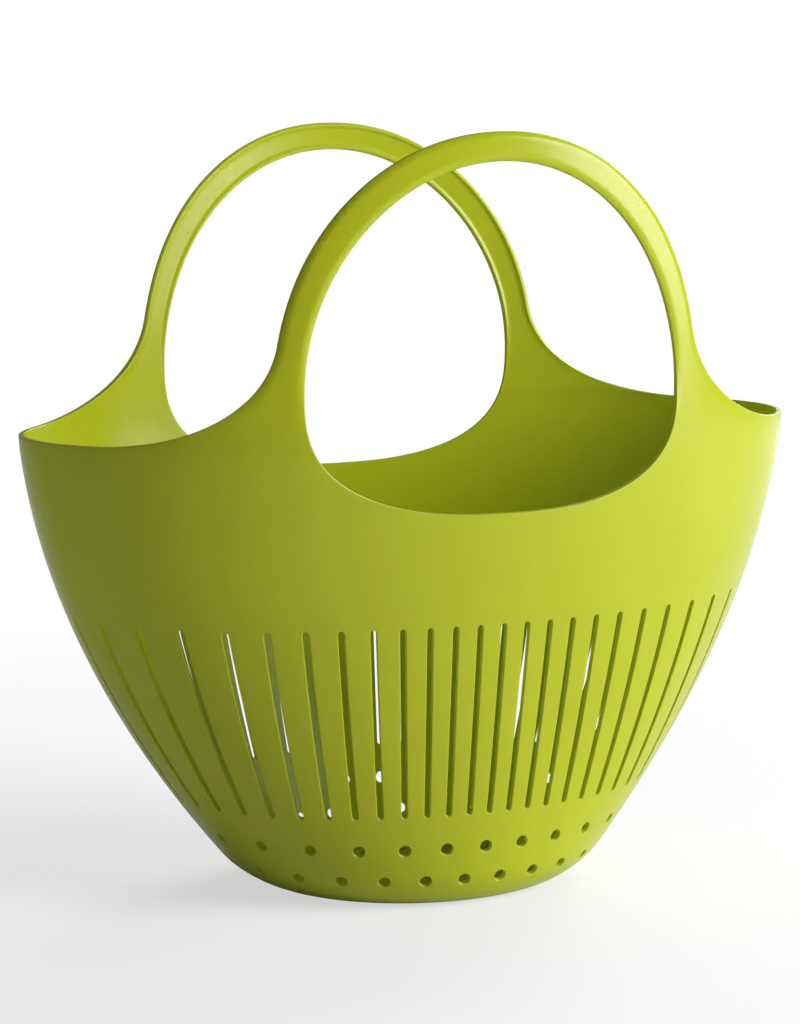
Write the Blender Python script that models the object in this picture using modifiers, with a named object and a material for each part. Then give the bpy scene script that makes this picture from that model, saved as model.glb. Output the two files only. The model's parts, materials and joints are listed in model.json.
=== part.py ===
"""Fruit picking basket: an oval, one-piece plastic harvest basket with two loop handles.

Units are metres, +Z up. The basket stands on Z = 0 with its long axis on X and its front handle on -Y.
The real basket is a single moulding, so each object here is one zone of it.
"""

import math

import bmesh
import bpy
from mathutils import Matrix, Vector

# Driving dimensions of the moulding, measured on its outer face.
LENGTH = 0.380            # rim, end to end
WIDTH = 0.209             # rim, front to back
RIM_HEIGHT = 0.2175       # at the two ends
HEIGHT = 0.355            # top of the handles
BASE_LENGTH = 0.158       # oval that the walls spring from, before the base corner is rounded
BASE_WIDTH = 0.144
BASE_CORNER = 0.017
WALL = 0.0026
BASE_LIP = 0.0012         # flat edge of the drain band round the floor
LONG_BULGE = 0.80         # how far the end walls bow out from a straight taper
NARROW_BULGE = 0.50       # the same for the front and back walls
HANDLE_LEAN = 0.022       # the handles lean in by this much a metre of height

# Heights of the zones.
DRAIN_TOP = 0.040
SLOT_BOTTOM = 0.046
SLOT_TOP = 0.1355
SLOTTED_TOP = 0.142
END_WALL_BOTTOM = 0.200
HINGE_HEIGHT = 0.240      # the handle openings are widest here, so the legs bend here
GAP = 0.0003

# Handles and their openings.
OPENING_WIDTH = 0.1826
OPENING_MIDDLE = 0.238
OPENING_TOP = 0.341
OPENING_BOTTOM = 0.186
OPENING_BOTTOM_SQUARENESS = 2.6
ARCH_WIDTH = 0.210
ARCH_SQUARENESS = 2.1
FLARE_LENGTH = 0.070      # the legs sweep out into the rim over this length
FLARE_HEIGHT = 0.045
HANDLE_DEPTH = 0.0044     # a handle is a channel, open to the inside, and this deep
CURL_WIDTH = 0.0042       # its edges curl in over this width
CURL_POWER = 2            # and this sharply
CURL_START = 0.2175
CURL_END = 0.275

# Slots and drain holes.
SLOTS = 52
SLOT_WIDTH = 0.0026
SLOT_TURN = math.radians(1.5)  # how far round from the middle of the front the first slot stands
DRAIN_HOLES = SLOTS // 2
DRAIN_HOLE_RADIUS = 0.0028
DRAIN_ROWS = (0.030, 0.0145)
FLOOR_HOLE_RADIUS = 0.0028
CUTTER_REACH = 0.015       # length of the pins that cut the holes
FLOOR_HOLE_RINGS = ((0.00, 1), (0.36, 8), (0.72, 14))

# Fineness of the meshes.
WALL_STEPS = 2 * SLOTS
CORNER_ROWS = 4
SLOT_ROWS = 5
BAND_ROWS = 4
END_WALL_STEPS = 20
END_WALL_ROWS = 5
LEG_SHARE = 0.25          # this much of an end wall's columns run up into the handle's leg
HANDLE_STATIONS = 44
HOLE_SIDES = 8
SECTION_STEPS = 6         # across a handle's section
SLOPE_STEP = 0.0001
SETTLING_STEPS = 2
EDGE_BOW_FADE = 3         # how fast the bow of the opening's edge dies out across the end wall

LIME = (0.42, 0.55, 0.028, 1.0)
ROUGHNESS = 0.42


def clear_scene():
    for obj in list(bpy.data.objects):
        bpy.data.objects.remove(obj, do_unlink=True)


def new_collection(name):
    collection = bpy.data.collections.new(name)
    bpy.context.scene.collection.children.link(collection)
    return collection


def plastic(name):
    material = bpy.data.materials.new(name)
    material.use_nodes = True
    shader = material.node_tree.nodes["Principled BSDF"]
    shader.inputs["Base Color"].default_value = LIME
    shader.inputs["Roughness"].default_value = ROUGHNESS
    shader.inputs["Metallic"].default_value = 0.0
    material.diffuse_color = LIME
    return material


def smoothstep(value):
    value = min(max(value, 0.0), 1.0)
    return value * value * (3.0 - 2.0 * value)


def oval(z):
    """Half length and half width of the outer face at a height."""
    rise = min(z / RIM_HEIGHT, 1.0)
    half_length = BASE_LENGTH / 2 + (LENGTH - BASE_LENGTH) / 2 * (rise + LONG_BULGE * rise * (1 - rise))
    half_width = BASE_WIDTH / 2 + (WIDTH - BASE_WIDTH) / 2 * (rise + NARROW_BULGE * rise * (1 - rise))
    half_width -= HANDLE_LEAN * max(z - RIM_HEIGHT, 0.0)
    if z < BASE_CORNER:
        tuck = BASE_CORNER - math.sqrt(BASE_CORNER**2 - (BASE_CORNER - z) ** 2)
        half_length -= tuck
        half_width -= tuck
    return half_length, half_width


def wall_point(angle, z):
    """The outer face at a compass angle seen from the basket's centre."""
    half_length, half_width = oval(z)
    reach = 1 / math.hypot(math.cos(angle) / half_length, math.sin(angle) / half_width)
    return Vector((reach * math.cos(angle), reach * math.sin(angle), z))


def slot_angle(index):
    """Compass angle of a slot, counted from the first one at the front."""
    return -math.pi / 2 + SLOT_TURN + 2 * math.pi * index / SLOTS


def wall_depth(x, z):
    """Distance from the X axis to the outer face, in plan."""
    half_length, half_width = oval(z)
    return half_width * math.sqrt(max(1 - (x / half_length) ** 2, 0.0))


def wall_normal(point):
    """Outward direction of the outer face, in plan."""
    half_length, half_width = oval(point.z)
    return Vector((point.x / half_length**2, point.y / half_width**2, 0.0)).normalized()


def opening_half_width(z):
    """Half width of a handle's opening at a height."""
    if z > OPENING_MIDDLE:
        share = (z - OPENING_MIDDLE) / (OPENING_TOP - OPENING_MIDDLE)
        return OPENING_WIDTH / 2 * math.sqrt(max(1 - share**2, 0.0))
    share = min((OPENING_MIDDLE - z) / (OPENING_MIDDLE - OPENING_BOTTOM), 1.0)
    power = OPENING_BOTTOM_SQUARENESS
    return OPENING_WIDTH / 2 * (1 - share**power) ** (1 / power)


def opening_floor(x):
    """Height of the lower edge of a handle's opening, at a distance from its middle."""
    share = min(abs(x) / (OPENING_WIDTH / 2), 1.0)
    power = OPENING_BOTTOM_SQUARENESS
    return OPENING_MIDDLE - (OPENING_MIDDLE - OPENING_BOTTOM) * (1 - share**power) ** (1 / power)


def arch_half_width(z):
    """Half width of a handle's outer edge at a height, with the flare into the rim."""
    share = max(z - OPENING_MIDDLE, 0.0) / (HEIGHT - OPENING_MIDDLE)
    arch = ARCH_WIDTH / 2 * max(1 - share**ARCH_SQUARENESS, 0.0) ** (1 / ARCH_SQUARENESS)
    return arch + flare_length(z)


def flare_length(z):
    """How much wider the flare makes a leg at a height."""
    drop = min(max((RIM_HEIGHT + FLARE_HEIGHT - z) / FLARE_HEIGHT, 0.0), 1.0)
    return FLARE_LENGTH * (1 - math.sqrt(1 - drop**2))


def opening_reach(x, z):
    """1 on the edge of a handle's opening, and more outside it."""
    above = z > OPENING_MIDDLE
    power = 2 if above else OPENING_BOTTOM_SQUARENESS
    half_height = OPENING_TOP - OPENING_MIDDLE if above else OPENING_MIDDLE - OPENING_BOTTOM
    across = abs(x) / (OPENING_WIDTH / 2)
    return (across**power + (abs(z - OPENING_MIDDLE) / half_height) ** power) ** (1 / power)


def arch_reach(x, z):
    """1 on a handle's outer edge, and less inside it."""
    across = max(abs(x) - flare_length(z), 0.0) / (ARCH_WIDTH / 2)
    up = max(z - OPENING_MIDDLE, 0.0) / (HEIGHT - OPENING_MIDDLE)
    return (across**ARCH_SQUARENESS + up**ARCH_SQUARENESS) ** (1 / ARCH_SQUARENESS)


def edge_distance(x, z):
    """Distance to the nearer edge of a handle or its leg, as seen from the front."""
    distances = []
    for reach, side in ((opening_reach, 1), (arch_reach, -1)):
        slope_x = (reach(x + SLOPE_STEP, z) - reach(x - SLOPE_STEP, z)) / (2 * SLOPE_STEP)
        slope_z = (reach(x, z + SLOPE_STEP) - reach(x, z - SLOPE_STEP)) / (2 * SLOPE_STEP)
        distances.append(side * (reach(x, z) - 1) / math.hypot(slope_x, slope_z))
    return min(distances)


def curled(point):
    """Where the outer face is once a handle's edges have curled in from the oval wall."""
    rise = smoothstep((point.z - CURL_START) / (CURL_END - CURL_START))
    if rise == 0:
        return point
    share = max(1 - edge_distance(point.x, point.z) / CURL_WIDTH, 0.0)
    return point - wall_normal(point) * (HANDLE_DEPTH - WALL) * rise * share**CURL_POWER


def add_object(name, mesh, collection, material):
    mesh.materials.append(material)
    obj = bpy.data.objects.new(name, mesh)
    collection.objects.link(obj)
    return obj


def open_skin(name, rows, collection, material, around=False, missing=None):
    """An open sheet through rows of points, thickened inwards. missing(row, column) leaves a face out."""
    mesh = bpy.data.meshes.new(name)
    bm = bmesh.new()
    verts = [[bm.verts.new(point) for point in row] for row in rows]
    columns = len(rows[0])
    for i in range(len(rows) - 1):
        for j in range(columns if around else columns - 1):
            k = (j + 1) % columns
            if missing is None or not missing(i, j):
                bm.faces.new((verts[i][j], verts[i][k], verts[i + 1][k], verts[i + 1][j]))
    bmesh.ops.recalc_face_normals(bm, faces=bm.faces)
    outward = sum(face.normal.dot(face.calc_center_median() * face.calc_area()) for face in bm.faces)
    if outward < 0:
        bmesh.ops.reverse_faces(bm, faces=bm.faces)
    for face in bm.faces:
        face.smooth = True
    bm.to_mesh(mesh)
    bm.free()
    obj = add_object(name, mesh, collection, material)
    shell = obj.modifiers.new("wall thickness", "SOLIDIFY")
    shell.thickness = WALL
    shell.offset = -1.0
    return obj


def levels(low, high, count):
    return [low + (high - low) * i / count for i in range(count + 1)]


def cut(obj, cutter):
    boolean = obj.modifiers.new(f"cut {cutter.name}", "BOOLEAN")
    boolean.operation = "DIFFERENCE"
    boolean.solver = "EXACT"
    boolean.object = cutter


def pin_cutter(name, pins, radius, cutters):
    """One cutter of many short round pins, each given as its middle and its direction."""
    mesh = bpy.data.meshes.new(name)
    bm = bmesh.new()
    for middle, direction in pins:
        turn = direction.to_track_quat("Z", "Y").to_matrix().to_4x4()
        bmesh.ops.create_cone(
            bm,
            cap_ends=True,
            segments=HOLE_SIDES,
            radius1=radius,
            radius2=radius,
            depth=CUTTER_REACH,
            matrix=Matrix.Translation(middle) @ turn,
        )
    bm.to_mesh(mesh)
    bm.free()
    obj = bpy.data.objects.new(name, mesh)
    cutters.objects.link(obj)
    obj.hide_render = True
    obj.display_type = "WIRE"
    return obj


def make_drain_floor(collection, cutters, material):
    """The flat oval floor that the basket stands on, with drain holes in rings."""
    half_length, half_width = (half - BASE_LIP - GAP for half in oval(0.0))
    mesh = bpy.data.meshes.new("drain_floor")
    bm = bmesh.new()
    oval_plate = Matrix.Translation((0, 0, WALL / 2)) @ Matrix.Diagonal((half_length, half_width, 1, 1))
    bmesh.ops.create_cone(
        bm, cap_ends=True, segments=WALL_STEPS, radius1=1, radius2=1, depth=WALL, matrix=oval_plate
    )
    bm.to_mesh(mesh)
    bm.free()
    floor = add_object("drain_floor", mesh, collection, material)
    pins = []
    for share, count in FLOOR_HOLE_RINGS:
        for i in range(count):
            angle = 2 * math.pi * i / count
            place = (share * half_length * math.cos(angle), share * half_width * math.sin(angle), WALL / 2)
            pins.append((Vector(place), Vector((0, 0, 1))))
    cut(floor, pin_cutter("floor_holes", pins, FLOOR_HOLE_RADIUS, cutters))


def make_drain_band(collection, cutters, material):
    """The rounded foot of the wall, with two staggered rows of round drain holes."""
    angles = levels(-math.pi / 2, 1.5 * math.pi, WALL_STEPS)[:-1]
    corner = [BASE_CORNER * (1 - math.cos(angle)) for angle in levels(0.0, math.pi / 2, CORNER_ROWS)]
    heights = corner + levels(BASE_CORNER, DRAIN_TOP, 2)[1:]
    rows = [[wall_point(angle, z) for angle in angles] for z in heights]
    lip = [point - wall_normal(point) * BASE_LIP for point in rows[0]]
    band = open_skin("drain_band", [lip] + rows, collection, material, around=True)
    pins = []
    for row, z in enumerate(DRAIN_ROWS):
        for i in range(DRAIN_HOLES):
            angle = slot_angle(2 * i + row)
            below, above = (wall_point(angle, z + step) for step in (-DRAIN_HOLE_RADIUS, DRAIN_HOLE_RADIUS))
            along = wall_normal(below).cross(Vector((0, 0, 1)))
            pins.append(((below + above) / 2, (above - below).cross(along)))
    cut(band, pin_cutter("drain_holes", pins, DRAIN_HOLE_RADIUS, cutters))


def make_slotted_wall(collection, material):
    """The ring of ribs between upright slots, each slot in a plane through the basket's axis."""
    heights = [DRAIN_TOP + GAP] + levels(SLOT_BOTTOM, SLOT_TOP, SLOT_ROWS) + [SLOTTED_TOP]
    half_pitch = math.pi / SLOTS
    rows = []
    for z in heights:
        row = []
        for i in range(SLOTS):
            middle = slot_angle(i)
            turn = SLOT_WIDTH / 2 / wall_point(middle, z).xy.length
            row += [wall_point(middle + step, z) for step in (-turn, turn, half_pitch)]
        rows.append(row)

    def in_slot(row, column):
        return column % 3 == 0 and 0 < row < len(heights) - 2

    open_skin("slotted_wall", rows, collection, material, around=True, missing=in_slot)


def band_top(angle):
    """Height of the plain band's upper edge. The wall leans, so the height is settled in a few steps."""
    top = END_WALL_BOTTOM
    for _ in range(SETTLING_STEPS):
        top = min(opening_floor(wall_point(angle, top).x), END_WALL_BOTTOM)
    return top


def make_plain_band(collection, material):
    """The smooth ring above the slots; its upper edge dips under each handle's opening."""
    angles = levels(-math.pi / 2, 1.5 * math.pi, WALL_STEPS)[:-1]
    low = SLOTTED_TOP + GAP
    rows = []
    for share in levels(0.0, 1.0, BAND_ROWS):
        row = []
        for angle in angles:
            top = band_top(angle)
            row.append(wall_point(angle, low + (top - low) * share))
        rows.append(row)
    open_skin("plain_band", rows, collection, material, around=True)


def flare_height(x):
    """Height of the rim, which sweeps up to the handle's leg."""
    reach = min(max((x - ARCH_WIDTH / 2) / FLARE_LENGTH, 0.0), 1.0)
    return RIM_HEIGHT + FLARE_HEIGHT * (1 - math.sqrt(1 - (1 - reach) ** 2))


def turn_at(x, z):
    """The oval's own angle where the outer face is this far along X: 0 at the basket's end."""
    return math.acos(min(x / oval(z)[0], 1.0))


def end_wall_point(across, up):
    """A point on the front half of the right end wall.

    across goes from the handle's opening (0) to the basket's end (1), and up from the plain band (0) to the
    hinge line and the rim (1).
    """
    low = END_WALL_BOTTOM + GAP
    high = HINGE_HEIGHT - GAP / 2
    leg_inside = opening_half_width(high)
    leg_outside = arch_half_width(high)
    if across < LEG_SHARE:
        top_x = leg_inside + (leg_outside - leg_inside) * across / LEG_SHARE
        top_turn, top_z = turn_at(top_x, high), high
    else:
        top_turn = turn_at(leg_outside, high) * (1 - across) / (1 - LEG_SHARE)
        top_z = flare_height(oval(RIM_HEIGHT)[0] * math.cos(top_turn))
    foot_turn = turn_at(opening_half_width(low), low) * (1 - across)
    edge_z = low + (high - low) * up
    edge_foot, edge_top = turn_at(opening_half_width(low), low), turn_at(leg_inside, high)
    edge_bow = turn_at(opening_half_width(edge_z), edge_z) - (edge_foot + (edge_top - edge_foot) * up)
    turn = foot_turn + (top_turn - foot_turn) * up + edge_bow * (1 - across) ** EDGE_BOW_FADE
    z = low + (top_z - low) * up
    half_length, half_width = oval(z)
    return curled(Vector((half_length * math.cos(turn), -half_width * math.sin(turn), z)))


def make_end_wall(name, side, collection, material):
    """One end of the basket above the plain band, up to the rim and the roots of two handle legs."""
    rows = []
    for up in levels(0.0, 1.0, END_WALL_ROWS):
        front = [end_wall_point(across, up) for across in levels(0.0, 1.0, END_WALL_STEPS)]
        back = [Vector((point.x, -point.y, point.z)) for point in reversed(front[:-1])]
        rows.append([Vector((side * point.x, point.y, point.z)) for point in front + back])
    open_skin(name, rows, collection, material)


def handle_section(side, sweep):
    """A handle's section at one place round its loop: along its outer face, and back along its inner face."""
    low = HINGE_HEIGHT + GAP / 2
    inner_z = low + (OPENING_TOP - low) * math.sin(sweep)
    outer_z = low + (HEIGHT - low) * math.sin(sweep)
    direction = math.copysign(1.0, math.cos(sweep))
    inner_x = direction * opening_half_width(inner_z)
    outer_x = direction * arch_half_width(outer_z)
    flat = []
    for share in levels(0.0, 1.0, SECTION_STEPS):
        x = inner_x + (outer_x - inner_x) * share
        z = inner_z + (outer_z - inner_z) * share
        flat.append(Vector((x, side * wall_depth(x, z), z)))
    outer_face = [curled(point) for point in flat]
    along = (flat[-1] - flat[0]).cross(wall_normal(flat[SECTION_STEPS // 2]))
    inner_face = []
    for i, point in enumerate(outer_face):
        across = outer_face[min(i + 1, SECTION_STEPS)] - outer_face[max(i - 1, 0)]
        inner_face.append(point + across.cross(along).normalized() * WALL)
    return outer_face + inner_face[::-1]


def make_handle(name, side, collection, material):
    """A loop handle from one leg to the other: a channel that follows the curve of the wall."""
    mesh = bpy.data.meshes.new(name)
    bm = bmesh.new()
    sweeps = levels(0.0, math.pi, HANDLE_STATIONS)
    rings = [[bm.verts.new(point) for point in handle_section(side, sweep)] for sweep in sweeps]
    count = len(rings[0])
    for a, b in zip(rings, rings[1:]):
        for j in range(count):
            k = (j + 1) % count
            bm.faces.new((a[j], a[k], b[k], b[j])).smooth = True
    for ring in (rings[0], rings[-1]):
        for j in range(SECTION_STEPS):
            bm.faces.new((ring[j], ring[j + 1], ring[count - 2 - j], ring[count - 1 - j]))
    bmesh.ops.recalc_face_normals(bm, faces=bm.faces)
    bm.to_mesh(mesh)
    bm.free()
    handle = add_object(name, mesh, collection, material)
    hinge = hinge_line(side)
    handle.data.transform(Matrix.Translation(-hinge))
    handle.location = hinge


def hinge_line(side):
    """Where a handle's bending axis, which runs along X, crosses the middle plane.

    It is level with the innermost edge of the handle's feet, so they lift clear of the wall as it bends in.
    """
    depth = min(abs(point.y) for point in handle_section(side, 0.0))
    return Vector((0.0, side * depth, HINGE_HEIGHT))


def main():
    clear_scene()
    basket = new_collection("fruit_picking_basket")
    cutters = new_collection("cutters")
    cutters.hide_render = True
    make_drain_floor(basket, cutters, plastic("floor plastic"))
    make_drain_band(basket, cutters, plastic("drain band plastic"))
    make_slotted_wall(basket, plastic("slotted wall plastic"))
    make_plain_band(basket, plastic("plain band plastic"))
    make_end_wall("left_end_wall", -1, basket, plastic("left end plastic"))
    make_end_wall("right_end_wall", 1, basket, plastic("right end plastic"))
    make_handle("front_handle", -1, basket, plastic("front handle plastic"))
    make_handle("rear_handle", 1, basket, plastic("rear handle plastic"))


main()
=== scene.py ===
"""Fruit picking basket: the fine surface, plastic, light and camera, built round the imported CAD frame.

The basket is one moulding, so its whole outer face is made here as one open sheet, given rounded edges and a
wall thickness, and only then parted at the feet of the two loop handles, which bend. Units are metres.
"""

import json
import math

import bmesh
import bpy
import numpy as np
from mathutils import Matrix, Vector
from mathutils.geometry import delaunay_2d_cdt


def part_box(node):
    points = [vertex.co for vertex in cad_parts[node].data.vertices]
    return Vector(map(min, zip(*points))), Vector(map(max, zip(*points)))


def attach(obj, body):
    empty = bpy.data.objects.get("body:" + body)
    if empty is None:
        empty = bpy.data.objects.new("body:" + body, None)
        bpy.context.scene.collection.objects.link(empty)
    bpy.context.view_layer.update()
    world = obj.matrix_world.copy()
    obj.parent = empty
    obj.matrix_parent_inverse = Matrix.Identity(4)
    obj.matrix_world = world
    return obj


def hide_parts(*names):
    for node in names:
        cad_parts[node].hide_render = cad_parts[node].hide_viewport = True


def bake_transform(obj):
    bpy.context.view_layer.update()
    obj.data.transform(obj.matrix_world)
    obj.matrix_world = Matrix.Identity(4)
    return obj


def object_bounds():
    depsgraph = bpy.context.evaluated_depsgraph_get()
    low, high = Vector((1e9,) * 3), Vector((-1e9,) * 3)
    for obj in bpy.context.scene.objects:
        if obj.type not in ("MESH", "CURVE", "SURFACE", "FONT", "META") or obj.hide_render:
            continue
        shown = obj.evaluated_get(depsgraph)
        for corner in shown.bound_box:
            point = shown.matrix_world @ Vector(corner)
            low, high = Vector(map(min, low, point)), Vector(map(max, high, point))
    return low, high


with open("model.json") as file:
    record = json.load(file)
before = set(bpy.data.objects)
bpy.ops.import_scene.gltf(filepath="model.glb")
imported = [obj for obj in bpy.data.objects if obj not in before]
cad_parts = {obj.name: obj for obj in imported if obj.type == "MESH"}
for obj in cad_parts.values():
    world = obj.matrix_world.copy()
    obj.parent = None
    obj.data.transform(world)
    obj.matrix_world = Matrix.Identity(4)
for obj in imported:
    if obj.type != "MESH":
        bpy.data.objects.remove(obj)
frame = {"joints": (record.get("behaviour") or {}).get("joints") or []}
cad_low, cad_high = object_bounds()

SHELL_NODES = ("drain_floor", "drain_band", "slotted_wall", "plain_band", "left_end_wall", "right_end_wall")

# The moulding, measured on its outer face.
LENGTH = cad_high.x - cad_low.x
HEIGHT = cad_high.z
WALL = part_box("drain_floor")[1].z
END_WALL_BOTTOM = 0.200
HINGE_HEIGHT = frame["joints"][0]["pos_m"][2]
WIDTH = 0.209             # rim, front to back
RIM_HEIGHT = 0.2175       # at the two ends
BASE_LENGTH = 0.158       # oval that the walls spring from, before the base corner is rounded
BASE_WIDTH = 0.144
BASE_CORNER = 0.017
LONG_BULGE = 0.80         # how far the end walls bow out from a straight taper
NARROW_BULGE = 0.50       # the same for the front and back walls
HANDLE_LEAN = 0.022       # the handles lean in by this much a metre of height
RIM_EASING = 0.012        # the wall turns upright over this much either side of the rim's height

# Slots and drain holes.
SLOTS = 52
SLOT_WIDTH = 0.0026
SLOT_TURN = math.radians(1.5)  # how far round from the middle of the front the first slot stands
SLOT_BOTTOM = 0.046
SLOT_TOP = 0.1355
SLOTTED_TOP = 0.142
HOLE_RADIUS = 0.0028
HOLE_ROWS = (0.0145, 0.030)   # the lower row stands between the slots, the upper row below every second one
FLOOR_HOLE_RINGS = ((0.00, 1), (0.36, 8), (0.72, 14))

# Handles and their openings.
OPENING_WIDTH = 0.1826
OPENING_MIDDLE = 0.238
OPENING_TOP = 0.341
OPENING_BOTTOM = 0.186
OPENING_BOTTOM_SQUARENESS = 2.6
ARCH_WIDTH = 0.210
ARCH_SQUARENESS = 2.1
FLARE_LENGTH = 0.070      # the legs sweep out into the rim over this length
FLARE_HEIGHT = 0.045
HANDLE_DEPTH = 0.0044     # a handle is a channel, open to the inside, and this deep
CURL_WIDTH = 0.0042       # its edges curl in over this width
CURL_POWER = 2            # and this sharply
CURL_START = 0.2175
CURL_END = 0.275
WALL_EDGE = 0.0005        # edge radius of the wall, and of the handles
HANDLE_EDGE = 0.0011

# Where the moulding is parted for the joints.
PARTING_HEIGHT = 0.2185

# Fineness of the sheet.
SLOT_COLUMNS = 6          # across a slot, and across a hole
RIB_COLUMNS = 4
PITCH_COLUMNS = SLOT_COLUMNS + RIB_COLUMNS
QUARTER_COLUMNS = SLOTS * PITCH_COLUMNS // 4
NOTCH_COLUMN = 48         # in each quarter, the column that meets the corner of the handle's opening
LEG_COLUMNS = 12
CORNER_ROWS = 7
FOOT_ROWS = 3             # between the holes and the slots
SLOT_ROWS = 14
BAND_ROWS = 12
HORN_ROWS = 15
HANDLE_STATIONS = 136
EDGE_BOW_FADE = 3         # how fast the bow of the opening's edge dies out across the end wall
EDGE_CELL = 0.1           # width of the cells along a handle's edge, as a share of its width
RIM_CELL = 0.12           # height of the cells along the rim, as a share of the end wall's height
HOLE_CLEARANCE = 0.0018   # from a hole's edge to the next row of cells
WELD = 1e-6
SLOPE_STEP = 0.0001       # distance over which a slope is measured
NORMAL_STEP = 0.00002     # and this one, for the wall's own direction
RING_STEP = WALL / 50     # width of the cells beside an edge before they are placed round its radius
RING_ANGLES = (30, 60, 90)    # degrees round an edge's quarter circle

# The plastic, as linear colours.
LIME = (0.475, 0.53, 0.013, 1.0)
LIME_DEEP = (0.445, 0.50, 0.012, 1.0)
LIME_WORN = (0.55, 0.64, 0.08, 1.0)
LIME_THROUGH = (0.66, 0.74, 0.05, 1.0)
TRANSLUCENCE = 0.3
PLASTIC_IOR = 1.49
PLASTIC_SHINE = 0.40
PLASTIC_ROUGHNESS = (0.18, 0.25)
EDGE_WEAR = 0.5           # how far the edges are worn to the worn colour

# Its texture, in features a metre, and the heights of what shows in relief.
CLOUD_SCALE = 16.0
WAVE_SCALE = 22.0
SCUFF_SCALE = 150.0
GRAIN_SCALE = 1900.0
WAVE_HEIGHT = 0.0006
WAVE_STRENGTH = 0.25
GRAIN_HEIGHT = 0.00006
GRAIN_STRENGTH = 0.18

# The studio.
FLOOR_RADIUS = 14.0
FLOOR_DROP = 0.0002       # keeps the floor's face apart from the basket's underside
FLOOR_FADE = (0.2, 0.75)  # beyond the first distance the floor's white glow grows, and from the second the camera sees only white glow
FLOOR_GLOW_UNDER_BASKET = 0.60     # share of white glow over the floor under the basket: painted light that lifts the basket's shadow there
PAPER = (0.90, 0.90, 0.90, 1.0)
PAPER_BRIGHT = (0.92, 0.92, 0.92, 1.0)
AMBIENT = (0.14, 0.13, 0.20, 1.0)
WHITE = (1.0, 1.0, 1.0, 1.0)
LIGHT_DISTANCE = 2.0      # metres from the middle of the basket to each light

# The camera stands to the left of the basket's front, a little above the handles.
CAMERA_TURN = 23.8        # degrees round from the front
CAMERA_DISTANCE = 1.5738
CAMERA_ASIDE = 0.0057     # the basket's middle is this far to the right of the camera's upright plane
CAMERA_HEIGHT = 0.3885
CAMERA_PITCH = 7.759      # degrees down
CAMERA_LENS = 118.55
CAMERA_SENSOR = 36.0


def smoothstep(value):
    value = min(max(value, 0.0), 1.0)
    return value * value * (3.0 - 2.0 * value)


def mix(a, b, share):
    return a + (b - a) * share


def levels(low, high, count):
    return [mix(low, high, i / count) for i in range(count + 1)]


# The oval wall


def oval(z):
    """Half length and half width of the outer face at a height."""
    rise = z / RIM_HEIGHT
    above = 0.0
    if z > RIM_HEIGHT - RIM_EASING:
        left = max(RIM_HEIGHT + RIM_EASING - z, 0.0)
        rise = 1.0 - left**2 / (4 * RIM_EASING * RIM_HEIGHT)
        above = z - RIM_HEIGHT + left**2 / (4 * RIM_EASING)
    half_length = BASE_LENGTH / 2 + (LENGTH - BASE_LENGTH) / 2 * (rise + LONG_BULGE * rise * (1 - rise))
    half_width = BASE_WIDTH / 2 + (WIDTH - BASE_WIDTH) / 2 * (rise + NARROW_BULGE * rise * (1 - rise))
    half_width -= HANDLE_LEAN * above
    if z < BASE_CORNER:
        tuck = BASE_CORNER - math.sqrt(max(BASE_CORNER**2 - (BASE_CORNER - z) ** 2, 0.0))
        half_length -= tuck
        half_width -= tuck
    return half_length, half_width


def wall_point(angle, z):
    """The outer face at a compass angle seen from the basket's centre."""
    half_length, half_width = oval(z)
    reach = 1 / math.hypot(math.cos(angle) / half_length, math.sin(angle) / half_width)
    return Vector((reach * math.cos(angle), reach * math.sin(angle), z))


def wall_depth(x, z):
    """Distance from the X axis to the outer face, in plan."""
    half_length, half_width = oval(z)
    return half_width * math.sqrt(max(1 - (x / half_length) ** 2, 0.0))


def turn_at(x, z):
    """The oval's own angle where the outer face is this far along X: 0 at the basket's end."""
    return math.acos(min(x / oval(z)[0], 1.0))


def wall_normal(point):
    """Outward direction of the wall's outer face, square to it."""
    below, above = max(point.z - NORMAL_STEP, 0.0), point.z + NORMAL_STEP
    low, high = oval(below), oval(above)
    half_length, half_width = oval(point.z)
    rise = above - below
    slope_x, slope_y = ((b - a) / rise for a, b in zip(low, high))
    down = point.x**2 * slope_x / half_length**3 + point.y**2 * slope_y / half_width**3
    return Vector((point.x / half_length**2, point.y / half_width**2, -down)).normalized()


# Handles' outlines, seen from the front


def opening_half_width(z):
    """Half width of a handle's opening at a height."""
    if z > OPENING_MIDDLE:
        share = (z - OPENING_MIDDLE) / (OPENING_TOP - OPENING_MIDDLE)
        return OPENING_WIDTH / 2 * math.sqrt(max(1 - share**2, 0.0))
    share = min((OPENING_MIDDLE - z) / (OPENING_MIDDLE - OPENING_BOTTOM), 1.0)
    power = OPENING_BOTTOM_SQUARENESS
    return OPENING_WIDTH / 2 * (1 - share**power) ** (1 / power)


def opening_floor(x):
    """Height of the lower edge of a handle's opening, at a distance from its middle."""
    share = min(abs(x) / (OPENING_WIDTH / 2), 1.0)
    power = OPENING_BOTTOM_SQUARENESS
    return OPENING_MIDDLE - (OPENING_MIDDLE - OPENING_BOTTOM) * (1 - share**power) ** (1 / power)


def arch_half_width(z):
    """Half width of a handle's outer edge at a height, with the flare into the rim."""
    share = max(z - OPENING_MIDDLE, 0.0) / (HEIGHT - OPENING_MIDDLE)
    arch = ARCH_WIDTH / 2 * max(1 - share**ARCH_SQUARENESS, 0.0) ** (1 / ARCH_SQUARENESS)
    return arch + flare_length(z)


def flare_length(z):
    """How much wider the flare makes a leg at a height."""
    drop = min(max((RIM_HEIGHT + FLARE_HEIGHT - z) / FLARE_HEIGHT, 0.0), 1.0)
    return FLARE_LENGTH * (1 - math.sqrt(1 - drop**2))


def flare_height(x):
    """Height of the rim, which sweeps up to the handle's leg."""
    reach = min(max((x - ARCH_WIDTH / 2) / FLARE_LENGTH, 0.0), 1.0)
    return RIM_HEIGHT + FLARE_HEIGHT * (1 - math.sqrt(1 - (1 - reach) ** 2))


# Handles' curled edges


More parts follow.
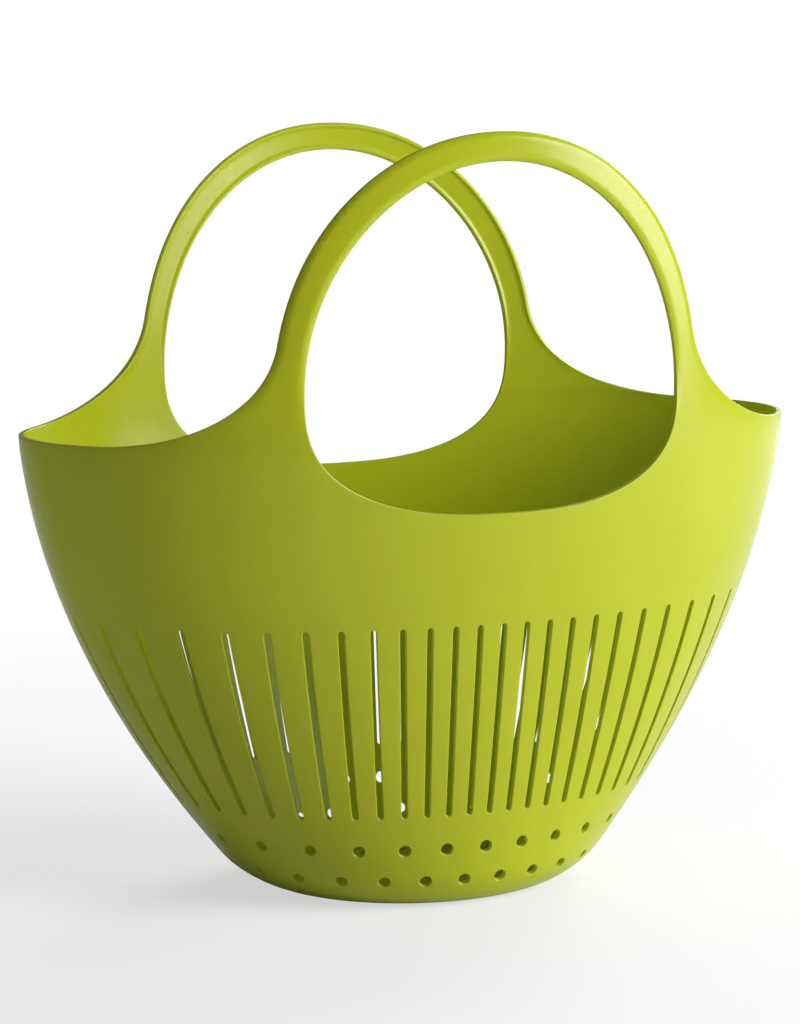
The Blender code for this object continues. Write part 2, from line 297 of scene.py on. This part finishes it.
def opening_reach(x, z):
    """1 on the edge of a handle's opening, and more outside it."""
    above = z > OPENING_MIDDLE
    power = 2 if above else OPENING_BOTTOM_SQUARENESS
    half_height = OPENING_TOP - OPENING_MIDDLE if above else OPENING_MIDDLE - OPENING_BOTTOM
    across = abs(x) / (OPENING_WIDTH / 2)
    return (across**power + (abs(z - OPENING_MIDDLE) / half_height) ** power) ** (1 / power)


def arch_reach(x, z):
    """1 on a handle's outer edge, and less inside it."""
    across = max(abs(x) - flare_length(z), 0.0) / (ARCH_WIDTH / 2)
    up = max(z - OPENING_MIDDLE, 0.0) / (HEIGHT - OPENING_MIDDLE)
    return (across**ARCH_SQUARENESS + up**ARCH_SQUARENESS) ** (1 / ARCH_SQUARENESS)


def edge_distance(x, z):
    """Distance to the nearer edge of a handle or its leg, as seen from the front."""
    distances = []
    for reach, side in ((opening_reach, 1), (arch_reach, -1)):
        slope_x = (reach(x + SLOPE_STEP, z) - reach(x - SLOPE_STEP, z)) / (2 * SLOPE_STEP)
        slope_z = (reach(x, z + SLOPE_STEP) - reach(x, z - SLOPE_STEP)) / (2 * SLOPE_STEP)
        distances.append(side * (reach(x, z) - 1) / math.hypot(slope_x, slope_z))
    return min(distances)


def curling(z):
    return smoothstep((z - CURL_START) / (CURL_END - CURL_START))


def curl(point):
    """How far the outer face stands back from the oval wall at a point of it."""
    share = max(1 - edge_distance(point.x, point.z) / CURL_WIDTH, 0.0)
    return (HANDLE_DEPTH - WALL) * curling(point.z) * share**CURL_POWER


def curled(point):
    """Where a point of the oval wall is once the handles' edges have curled in, and the normal there."""
    normal = outer_normal(point)
    if curling(point.z) == 0:
        return point, normal
    aside = Vector((0.0, 0.0, 1.0)).cross(normal).normalized()
    tilt = Vector()
    for direction in (aside, normal.cross(aside)):
        step = direction * SLOPE_STEP
        tilt += direction * (curl(point + step) - curl(point - step)) / (2 * SLOPE_STEP)
    return point - normal * curl(point), (normal + tilt).normalized()


def edge_radius(z):
    return mix(WALL_EDGE, HANDLE_EDGE, curling(z))


# The sheet: patches of grid, welded along their edges


def add_grid(bm, rows, around=False, missing=None):
    """A patch through rows of points. missing(row, column) leaves a face out."""
    verts = [[bm.verts.new(point) for point in row] for row in rows]
    columns = len(rows[0])
    for i in range(len(rows) - 1):
        for j in range(columns if around else columns - 1):
            k = (j + 1) % columns
            if missing is None or not missing(i, j):
                bm.faces.new((verts[i][j], verts[i][k], verts[i + 1][k], verts[i + 1][j]))


def pitch_place(column):
    """Which pitch a column of the lower wall belongs to, and its place there: the slot's middle is 0."""
    pitch, place = divmod(column + PITCH_COLUMNS // 2, PITCH_COLUMNS)
    return pitch, place - PITCH_COLUMNS // 2


def column_angle(column, z, half_slot):
    """Compass angle of a column of the lower wall, where the slots are twice half_slot wide."""
    pitch, place = pitch_place(column)
    pitch_angle = 2 * math.pi / SLOTS
    middle = SLOT_TURN - math.pi / 2 + pitch_angle * pitch
    side = math.copysign(1, place)
    half_columns = SLOT_COLUMNS // 2
    turn = half_slot / wall_point(middle, z).xy.length
    if abs(place) <= half_columns:
        return middle + turn * place / half_columns
    return middle + side * mix(turn, pitch_angle / 2, (abs(place) - half_columns) / (RIB_COLUMNS // 2))


def in_slot(column):
    """Whether the face to the right of this column lies in a slot."""
    return -(SLOT_COLUMNS // 2) <= pitch_place(column)[1] < SLOT_COLUMNS // 2


def on_hole(column, row_index):
    """Whether this column's pitch has a hole in this row of holes."""
    return pitch_place(column)[0] % 2 != row_index


def hole_point(angle, z, across, up):
    """Where a point of a hole's square block goes on the round edge. Across and up run from -1 to 1."""
    centre = wall_point(angle, z)
    steep = (wall_point(angle, z + WALL / 4) - wall_point(angle, z - WALL / 4)).normalized()
    normal = wall_normal(centre)
    along = steep.cross(normal)
    shorter, longer = sorted((across, up), key=abs)
    around = math.pi / 4 * shorter / longer if longer else 0.0
    if abs(across) >= abs(up):
        place = across * Vector((math.cos(around), math.sin(around)))
    else:
        place = up * Vector((math.sin(around), math.cos(around)))
    place *= HOLE_RADIUS
    point = centre + along * place.x + steep * place.y
    return wall_point(math.atan2(point.y, point.x), point.z)


def make_lower_wall(bm):
    """The rounded foot, the two rows of drain holes and the slots."""
    columns = range(4 * QUARTER_COLUMNS)
    half_block = SLOT_COLUMNS // 2
    hole_half_width = HOLE_RADIUS * math.sin(math.pi / 4)
    rows, open_cells = [], set()

    def add_row(z, half_slot):
        rows.append([wall_point(column_angle(j, z, half_slot), z) for j in columns])

    def add_hole_rows(row_index):
        z = HOLE_ROWS[row_index]
        for step in range(-half_block, half_block + 1):
            level = z + HOLE_RADIUS * math.sin(math.pi / 4 * step / half_block)
            row = []
            for j in columns:
                place = pitch_place(j)[1]
                angle = column_angle(j, level, hole_half_width)
                point = wall_point(angle, level)
                if on_hole(j, row_index) and abs(place) <= half_block:
                    middle = column_angle(j - place, z, hole_half_width)
                    point = hole_point(middle, z, place / half_block, step / half_block)
                row.append(point)
                if on_hole(j, row_index) and in_slot(j) and step < half_block:
                    open_cells.add((len(rows), j))
            rows.append(row)

    def add_slot_end(z, upwards):
        radius = SLOT_WIDTH / 2
        row = []
        for j in columns:
            place = min(abs(pitch_place(j)[1]) / half_block, 1.0)
            level = z - upwards * radius * (1 - math.sqrt(1 - place**2))
            row.append(wall_point(column_angle(j, level, radius), level))
        rows.append(row)

    lower_hole, upper_hole = HOLE_ROWS
    reach = HOLE_RADIUS + HOLE_CLEARANCE
    for i in range(CORNER_ROWS):
        add_row((lower_hole - reach) * (i / CORNER_ROWS) ** 2, hole_half_width)
    add_row(lower_hole - reach, hole_half_width)
    add_hole_rows(0)
    for z in levels(lower_hole + reach, upper_hole - reach, 2):
        add_row(z, hole_half_width)
    add_hole_rows(1)
    for share in levels(0.0, 1.0, FOOT_ROWS):
        z = mix(upper_hole + reach, SLOT_BOTTOM - HOLE_CLEARANCE, share)
        add_row(z, mix(hole_half_width, SLOT_WIDTH / 2, share))
    first = len(rows)
    add_slot_end(SLOT_BOTTOM, -1)
    for z in levels(SLOT_BOTTOM + SLOT_WIDTH, SLOT_TOP - SLOT_WIDTH, SLOT_ROWS):
        add_row(z, SLOT_WIDTH / 2)
    add_slot_end(SLOT_TOP, 1)
    last = len(rows) - 1
    open_cells.update((i, j) for i in range(first, last) for j in columns if in_slot(j))
    add_row(SLOT_TOP + HOLE_CLEARANCE, SLOT_WIDTH / 2)
    add_row(SLOTTED_TOP, SLOT_WIDTH / 2)
    add_grid(bm, rows, around=True, missing=lambda i, j: (i, j) in open_cells)


def notch_x():
    """Where the edge of a handle's opening reaches the foot of the end wall."""
    return opening_half_width(END_WALL_BOTTOM)


def band_top(column):
    """A column's place on the plain band's upper edge, in the front right quarter."""
    if column <= NOTCH_COLUMN:
        x = notch_x() * column / NOTCH_COLUMN
        z = opening_floor(x)
    else:
        left = (QUARTER_COLUMNS - column) / (QUARTER_COLUMNS - NOTCH_COLUMN)
        z = END_WALL_BOTTOM
        x = oval(z)[0] * math.cos(turn_at(notch_x(), z) * left)
    return Vector((x, -wall_depth(x, z), z))


def band_head(column):
    """Compass angle and height of a column's upper end, all the way round the plain band."""
    quarter, place = divmod(column, QUARTER_COLUMNS)
    top = band_top(QUARTER_COLUMNS - place if quarter % 2 else place)
    angle = math.atan2(top.y, top.x)
    if quarter % 2:
        angle = -math.pi / 2 - angle
    return angle + quarter * math.pi / 2, top.z


def make_plain_band(bm):
    """The smooth band above the slots; its upper edge dips under each handle's opening."""
    columns = range(4 * QUARTER_COLUMNS)
    feet = [column_angle(j, SLOTTED_TOP, SLOT_WIDTH / 2) for j in columns]
    heads = [band_head(j) for j in columns]
    rows = []
    for share in levels(0.0, 1.0, BAND_ROWS):
        row = []
        for foot, (head, top) in zip(feet, heads):
            row.append(wall_point(mix(foot, head, smoothstep(share)), mix(SLOTTED_TOP, top, share)))
        rows.append(row)
    add_grid(bm, rows, around=True)


def leg_share(column):
    """How far across a handle's leg a column lies, from the opening to the outer edge."""
    if column in (0, LEG_COLUMNS):
        return column / LEG_COLUMNS
    return mix(EDGE_CELL, 1 - EDGE_CELL, (column - 1) / (LEG_COLUMNS - 2))


def end_wall_point(column, up):
    """A point on the front half of the right end wall. Columns go from the handle's opening to the basket's
    end, and up goes from the plain band (0) to the hinge line and the rim (1)."""
    low, high = END_WALL_BOTTOM, HINGE_HEIGHT
    columns = QUARTER_COLUMNS - NOTCH_COLUMN
    across = column / columns
    leg_inside, leg_outside = opening_half_width(high), arch_half_width(high)
    if column <= LEG_COLUMNS:
        top_turn = turn_at(mix(leg_inside, leg_outside, leg_share(column)), high)
        top_z = high
    else:
        top_turn = turn_at(leg_outside, high) * (columns - column) / (columns - LEG_COLUMNS)
        top_z = flare_height(oval(RIM_HEIGHT)[0] * math.cos(top_turn))
    edge_foot, edge_top = turn_at(notch_x(), low), turn_at(leg_inside, high)
    edge_z = mix(low, high, up)
    edge_bow = turn_at(opening_half_width(edge_z), edge_z) - mix(edge_foot, edge_top, up)
    turn = mix(edge_foot * (1 - across), top_turn, up) + edge_bow * (1 - across) ** EDGE_BOW_FADE
    z = mix(low, top_z, up)
    half_length, half_width = oval(z)
    return Vector((half_length * math.cos(turn), -half_width * math.sin(turn), z))


def make_end_walls(bm):
    """Both ends of the basket above the plain band, up to the rim and the roots of the handles' legs."""
    ups = levels(0.0, 1 - RIM_CELL, HORN_ROWS - 1) + [1.0]
    columns = range(QUARTER_COLUMNS - NOTCH_COLUMN + 1)
    for side_x in (-1, 1):
        for side_y in (-1, 1):
            rows = [[end_wall_point(column, up) for column in columns] for up in ups]
            add_grid(bm, [[Vector((side_x * p.x, -side_y * p.y, p.z)) for p in row] for row in rows])


def make_handles(bm):
    """Each loop handle's outer face, from one leg to the other."""
    for side in (-1, 1):
        rows = []
        for sweep in levels(0.0, math.pi, HANDLE_STATIONS):
            inner_z = mix(HINGE_HEIGHT, OPENING_TOP, math.sin(sweep))
            outer_z = mix(HINGE_HEIGHT, HEIGHT, math.sin(sweep))
            direction = math.copysign(1.0, math.cos(sweep))
            inner_x = direction * opening_half_width(inner_z)
            outer_x = direction * arch_half_width(outer_z)
            row = []
            for column in range(LEG_COLUMNS + 1):
                x = mix(inner_x, outer_x, leg_share(column))
                z = mix(inner_z, outer_z, leg_share(column))
                row.append(Vector((x, side * wall_depth(x, z), z)))
            rows.append(row)
        add_grid(bm, rows)


def circle(middle, radius, count):
    return [
        middle + radius * Vector((math.cos(2 * math.pi * i / count), math.sin(2 * math.pi * i / count)))
        for i in range(count)
    ]


def make_floor(bm):
    """The flat floor inside the rounded foot, with drain holes in rings."""
    half_length, half_width = oval(0.0)
    columns = 4 * QUARTER_COLUMNS
    hole_half_width = HOLE_RADIUS * math.sin(math.pi / 4)
    loops = [[wall_point(column_angle(j, 0.0, hole_half_width), 0.0).xy for j in range(columns)]]
    middles = []
    for share, count in FLOOR_HOLE_RINGS:
        for i in range(count):
            angle = 2 * math.pi * i / count
            middle = Vector((share * half_length * math.cos(angle), share * half_width * math.sin(angle)))
            middles.append(middle)
            loops.append(circle(middle, HOLE_RADIUS, 4 * SLOT_COLUMNS))
            loops.append(circle(middle, HOLE_RADIUS + HOLE_CLEARANCE, 4 * SLOT_COLUMNS))
    points, edges = [], []
    for loop in loops:
        first = len(points)
        points += loop
        edges += [(first + i, first + (i + 1) % len(loop)) for i in range(len(loop))]
    outline = list(range(len(loops[0])))
    flat, _, faces, *_ = delaunay_2d_cdt(points, edges, [outline], 1, WELD)
    verts = [bm.verts.new((p.x, p.y, 0.0)) for p in flat]
    for face in faces:
        centre = sum((flat[i] for i in face), Vector((0.0, 0.0))) / len(face)
        if all((centre - middle).length > HOLE_RADIUS for middle in middles):
            bm.faces.new([verts[i] for i in face])


def face_outwards(bm):
    bmesh.ops.recalc_face_normals(bm, faces=bm.faces)
    outward = sum(face.normal.dot(face.calc_center_median()) * face.calc_area() for face in bm.faces)
    if outward < 0:
        bmesh.ops.reverse_faces(bm, faces=bm.faces)


def outer_sheet():
    """The whole outer face of the moulding as one open sheet."""
    bm = bmesh.new()
    make_lower_wall(bm)
    make_plain_band(bm)
    make_end_walls(bm)
    make_handles(bm)
    make_floor(bm)
    bmesh.ops.remove_doubles(bm, verts=bm.verts, dist=WELD)
    loose = [vert for vert in bm.verts if not vert.link_faces]
    bmesh.ops.delete(bm, geom=loose, context="VERTS")
    face_outwards(bm)
    return bm


# Rounded edges and wall thickness


def onto_wall(point):
    """The nearest place on the outer face, reached by moving in plan."""
    half_length, half_width = oval(max(point.z, 0.0))
    reach = math.hypot(point.x / half_length, point.y / half_width)
    if point.z < WELD and reach < 1:
        return point
    return Vector((point.x / reach, point.y / reach, point.z))


def add_edge_rings(bm):
    """Rings of cells beside every edge of the sheet, for its rounding. Returns, for each vertex on them, how
    far round the edge's quarter circle it is in degrees, and the direction out of the plastic there."""
    inside = list(bm.faces)
    inset = {"faces": inside, "use_boundary": True, "use_even_offset": True, "thickness": RING_STEP}
    strips = [bmesh.ops.inset_region(bm, **inset)["faces"] for _ in RING_ANGLES]
    rings = [{vert for vert in bm.verts if vert.is_boundary}]
    for strip in strips:
        rings.append({vert for face in strip for vert in face.verts} - rings[-1])
    rounding = {}
    for vert in rings[0]:
        chain = [vert]
        for ring in rings[1:]:
            neighbours = [edge.other_vert(chain[-1]) for edge in chain[-1].link_edges]
            chain.append(next(other for other in neighbours if other in ring))
        inward = (chain[1].co - vert.co) / RING_STEP
        normal = outer_normal(vert.co)
        outward = -(inward - normal * inward.dot(normal)).normalized()
        radius = edge_radius(vert.co.z)
        rounding[vert] = (0.0, outward)
        for following, angle in zip(chain[1:], RING_ANGLES):
            distance = radius * (1 - math.cos(math.radians(angle)))
            following.co = onto_wall(vert.co + inward * distance)
            rounding[following] = (angle, outward)
    return rounding


def outer_normal(point):
    if point.z < WELD:
        return Vector((0.0, 0.0, -1.0))
    return wall_normal(point)


def thickened(bm, rounding):
    """Points, normals and edge wear of the moulding: the sheet's vertices on the outer face, then the same
    ones on the inner face."""
    bm.verts.index_update()
    count = len(bm.verts)
    points = np.zeros((2 * count, 3))
    normals = np.zeros((2 * count, 3))
    wear = np.zeros(2 * count)
    for vert in bm.verts:
        angle, outward = rounding.get(vert, (90.0, Vector()))
        sine, cosine = math.sin(math.radians(angle)), math.cos(math.radians(angle))
        face, normal = curled(vert.co)
        outward = (outward - normal * outward.dot(normal)).normalized()
        middle = face - normal * WALL / 2
        left = WALL / 2 - edge_radius(vert.co.z) * (1 - sine)
        for side, index in ((1, vert.index), (-1, vert.index + count)):
            points[index] = middle + side * left * normal
            normals[index] = (side * normal * sine + outward * cosine).normalized()
            wear[index] = cosine
    return points, normals, wear


def piece_of(face):
    """Which piece a face of the sheet belongs to."""
    centre = face.calc_center_median()
    if centre.z < PARTING_HEIGHT:
        return "basket_body"
    return "front_loop_handle" if centre.y < 0 else "rear_loop_handle"


def split_faces(bm):
    """Each piece's faces, as corners of the thickened points, and whether each is a hidden parting face."""
    count = len(bm.verts)
    faces = {}
    for face in bm.faces:
        own = piece_of(face)
        made = faces.setdefault(own, [])
        corners = [vert.index for vert in face.verts]
        made.append((corners, False))
        made.append(([index + count for index in reversed(corners)], False))
        for loop in face.loops:
            others = [other for other in loop.edge.link_faces if other is not face]
            if others and piece_of(others[0]) == own:
                continue
            a, b = loop.vert.index, loop.link_loop_next.vert.index
            made.append(([b, a, a + count, b + count], bool(others)))
    return faces


def add_piece(name, faces, points, normals, wear, material):
    """One closed piece, shaded with the whole moulding's normals so that no parting line shows."""
    used = sorted({index for corners, _ in faces for index in corners})
    place = {index: i for i, index in enumerate(used)}
    mesh = bpy.data.meshes.new(name)
    mesh.from_pydata([points[i] for i in used], [], [[place[i] for i in corners] for corners, _ in faces])
    mesh.shade_smooth()
    shading = []
    for polygon, (corners, hidden) in zip(mesh.polygons, faces):
        shading += [polygon.normal.copy() if hidden else normals[i] for i in corners]
    mesh.normals_split_custom_set(shading)
    attribute = mesh.attributes.new("edge_wear", "FLOAT", "POINT")
    attribute.data.foreach_set("value", wear[used].astype(np.float32))
    mesh.materials.append(material)
    piece = bpy.data.objects.new(name, mesh)
    bpy.context.scene.collection.objects.link(piece)
    return piece


# The plastic


def new_material(name):
    material = bpy.data.materials.new(name)
    material.use_nodes = True
    nodes, links = material.node_tree.nodes, material.node_tree.links
    return material, nodes, links, nodes["Principled BSDF"]


def noise(nodes, links, coordinates, scale, detail=2.0, roughness=0.5):
    node = nodes.new("ShaderNodeTexNoise")
    node.inputs["Scale"].default_value = scale
    node.inputs["Detail"].default_value = detail
    node.inputs["Roughness"].default_value = roughness
    links.new(coordinates, node.inputs["Vector"])
    return node.outputs["Fac"]


def ranged(nodes, links, value, low, high, from_low=0.3, from_high=0.7):
    node = nodes.new("ShaderNodeMapRange")
    node.inputs["From Min"].default_value = from_low
    node.inputs["From Max"].default_value = from_high
    node.inputs["To Min"].default_value = low
    node.inputs["To Max"].default_value = high
    links.new(value, node.inputs["Value"])
    return node.outputs["Result"]


def mixed(nodes, links, share, a, b):
    node = nodes.new("ShaderNodeMix")
    node.data_type = "RGBA"
    links.new(share, node.inputs["Factor"])
    for socket, colour in ((node.inputs["A"], a), (node.inputs["B"], b)):
        if isinstance(colour, tuple):
            socket.default_value = colour
        else:
            links.new(colour, socket)
    return node.outputs["Result"]


def bumped(nodes, links, height, strength, distance, normal=None):
    node = nodes.new("ShaderNodeBump")
    node.inputs["Strength"].default_value = strength
    node.inputs["Distance"].default_value = distance
    links.new(height, node.inputs["Height"])
    if normal is not None:
        links.new(normal, node.inputs["Normal"])
    return node.outputs["Normal"]


def lime_plastic():
    """Moulded lime polypropylene: faint flow clouds, a fine grain, and paler scuffed edges."""
    material, nodes, links, shader = new_material("lime plastic")
    coordinates = nodes.new("ShaderNodeTexCoord").outputs["Object"]
    clouds = noise(nodes, links, coordinates, CLOUD_SCALE, detail=3.0)
    grain = noise(nodes, links, coordinates, GRAIN_SCALE)
    scuffs = noise(nodes, links, coordinates, SCUFF_SCALE, detail=4.0, roughness=0.7)
    waves = noise(nodes, links, coordinates, WAVE_SCALE, detail=1.0)
    colour = mixed(nodes, links, ranged(nodes, links, clouds, 0.0, 1.0), LIME_DEEP, LIME)
    worn = nodes.new("ShaderNodeMath")
    worn.operation = "MULTIPLY"
    edge = nodes.new("ShaderNodeAttribute")
    edge.attribute_name = "edge_wear"
    links.new(edge.outputs["Fac"], worn.inputs[0])
    links.new(ranged(nodes, links, scuffs, 0.0, EDGE_WEAR), worn.inputs[1])
    colour = mixed(nodes, links, worn.outputs["Value"], colour, LIME_WORN)
    links.new(colour, shader.inputs["Base Color"])
    links.new(ranged(nodes, links, scuffs, *PLASTIC_ROUGHNESS), shader.inputs["Roughness"])
    shader.inputs["IOR"].default_value = PLASTIC_IOR
    shader.inputs["Specular IOR Level"].default_value = PLASTIC_SHINE
    normal = bumped(nodes, links, waves, WAVE_STRENGTH, WAVE_HEIGHT)
    normal = bumped(nodes, links, grain, GRAIN_STRENGTH, GRAIN_HEIGHT, normal)
    links.new(normal, shader.inputs["Normal"])
    through = nodes.new("ShaderNodeBsdfTranslucent")
    through.inputs["Color"].default_value = LIME_THROUGH
    blend = nodes.new("ShaderNodeMixShader")
    blend.inputs["Fac"].default_value = TRANSLUCENCE
    links.new(shader.outputs["BSDF"], blend.inputs[1])
    links.new(through.outputs["BSDF"], blend.inputs[2])
    links.new(blend.outputs["Shader"], nodes["Material Output"].inputs["Surface"])
    return material


# The studio


def seen_by_camera(nodes, links, share):
    """The share, but only for what the camera sees directly; the light in the studio is left alone."""
    product = nodes.new("ShaderNodeMath")
    product.operation = "MULTIPLY"
    links.new(nodes.new("ShaderNodeLightPath").outputs["Is Camera Ray"], product.inputs[0])
    if isinstance(share, float):
        product.inputs[1].default_value = share
    else:
        links.new(share, product.inputs[1])
    return product.outputs["Value"]


def whitened(nodes, links, shader, white, share, output):
    """Blend a shader towards plain white, as the camera sees it."""
    blend = nodes.new("ShaderNodeMixShader")
    links.new(seen_by_camera(nodes, links, share), blend.inputs["Fac"])
    links.new(shader, blend.inputs[1])
    links.new(white, blend.inputs[2])
    links.new(blend.outputs["Shader"], output)


def glowing_pale_floor():
    """Pale paper, which the camera sees glowing white: in part under the basket, a painted light that lifts
    the basket's shadow, and wholly away from it.
    """
    material, nodes, links, shader = new_material("pale floor under white glow")
    coordinates = nodes.new("ShaderNodeTexCoord").outputs["Object"]
    shade = noise(nodes, links, coordinates, 3.0)
    links.new(mixed(nodes, links, shade, PAPER, PAPER_BRIGHT), shader.inputs["Base Color"])
    shader.inputs["Roughness"].default_value = 0.9
    distance = nodes.new("ShaderNodeVectorMath")
    distance.operation = "LENGTH"
    links.new(coordinates, distance.inputs[0])
    near, far = FLOOR_FADE
    # Painted light: the share of white glow the camera sees on the floor, part glow under the basket, where
    # it lifts the shadow, and all glow far out.
    share = ranged(nodes, links, distance.outputs["Value"], FLOOR_GLOW_UNDER_BASKET, 1.0, near, far)
    white = nodes.new("ShaderNodeEmission")
    white.inputs["Color"].default_value = WHITE
    surface = nodes["Material Output"].inputs["Surface"]
    whitened(nodes, links, shader.outputs["BSDF"], white.outputs["Emission"], share, surface)
    return material


def make_floor_stage():
    mesh = bpy.data.meshes.new("studio_floor")
    bm = bmesh.new()
    bmesh.ops.create_circle(bm, cap_ends=True, segments=96, radius=FLOOR_RADIUS)
    bm.to_mesh(mesh)
    bm.free()
    mesh.materials.append(glowing_pale_floor())
    floor = bpy.data.objects.new("studio_floor", mesh)
    floor.location.z = -FLOOR_DROP
    bpy.context.scene.collection.objects.link(floor)


def make_world():
    """Faint even light, against a white background."""
    world = bpy.data.worlds.new("studio")
    world.use_nodes = True
    nodes, links = world.node_tree.nodes, world.node_tree.links
    ambient = nodes["Background"]
    ambient.inputs["Color"].default_value = AMBIENT
    white = nodes.new("ShaderNodeBackground")
    white.inputs["Color"].default_value = WHITE
    surface = nodes["World Output"].inputs["Surface"]
    whitened(nodes, links, ambient.outputs["Background"], white.outputs["Background"], 1.0, surface)
    bpy.context.scene.world = world


def soft_light(name, azimuth, elevation, size, power):
    """A square area light aimed at the basket. Azimuth 0 is the basket's front, and 90 its right-hand end."""
    around, up = math.radians(azimuth), math.radians(elevation)
    back = Vector((math.sin(around) * math.cos(up), -math.cos(around) * math.cos(up), math.sin(up)))
    light = bpy.data.lights.new(name, "AREA")
    light.size = size
    light.energy = power
    lamp = bpy.data.objects.new(name, light)
    lamp.location = Vector((0.0, 0.0, HEIGHT / 2)) + back * LIGHT_DISTANCE
    lamp.rotation_mode = "QUATERNION"
    lamp.rotation_quaternion = (-back).to_track_quat("-Z", "Y")
    bpy.context.scene.collection.objects.link(lamp)


def make_camera():
    turn, pitch = math.radians(CAMERA_TURN), math.radians(CAMERA_PITCH)
    ahead = Vector((math.sin(turn), math.cos(turn), 0.0))
    right = Vector((math.cos(turn), -math.sin(turn), 0.0))
    forward = ahead * math.cos(pitch) - Vector((0.0, 0.0, math.sin(pitch)))
    data = bpy.data.cameras.new("camera")
    data.lens = CAMERA_LENS
    data.sensor_width = CAMERA_SENSOR
    camera = bpy.data.objects.new("camera", data)
    camera.location = -ahead * CAMERA_DISTANCE - right * CAMERA_ASIDE + Vector((0.0, 0.0, CAMERA_HEIGHT))
    camera.rotation_mode = "QUATERNION"
    camera.rotation_quaternion = forward.to_track_quat("-Z", "Y")
    bpy.context.scene.collection.objects.link(camera)
    bpy.context.scene.camera = camera


def make_basket():
    sheet = outer_sheet()
    rounding = add_edge_rings(sheet)
    points, normals, wear = thickened(sheet, rounding)
    faces = split_faces(sheet)
    sheet.free()
    plastic = lime_plastic()
    pieces = {name: add_piece(name, own, points, normals, wear, plastic) for name, own in faces.items()}
    body = pieces["basket_body"]
    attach(body, "shell")
    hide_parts(*SHELL_NODES)
    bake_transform(pieces["front_loop_handle"])
    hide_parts("front_handle")
    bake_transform(pieces["rear_loop_handle"])
    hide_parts("rear_handle")


make_basket()
make_floor_stage()
make_world()
make_camera()
soft_light("key", azimuth=50, elevation=16, size=1.2, power=58)
soft_light("back", azimuth=130, elevation=25, size=1.0, power=27)
bpy.context.scene.view_settings.view_transform = "Standard"
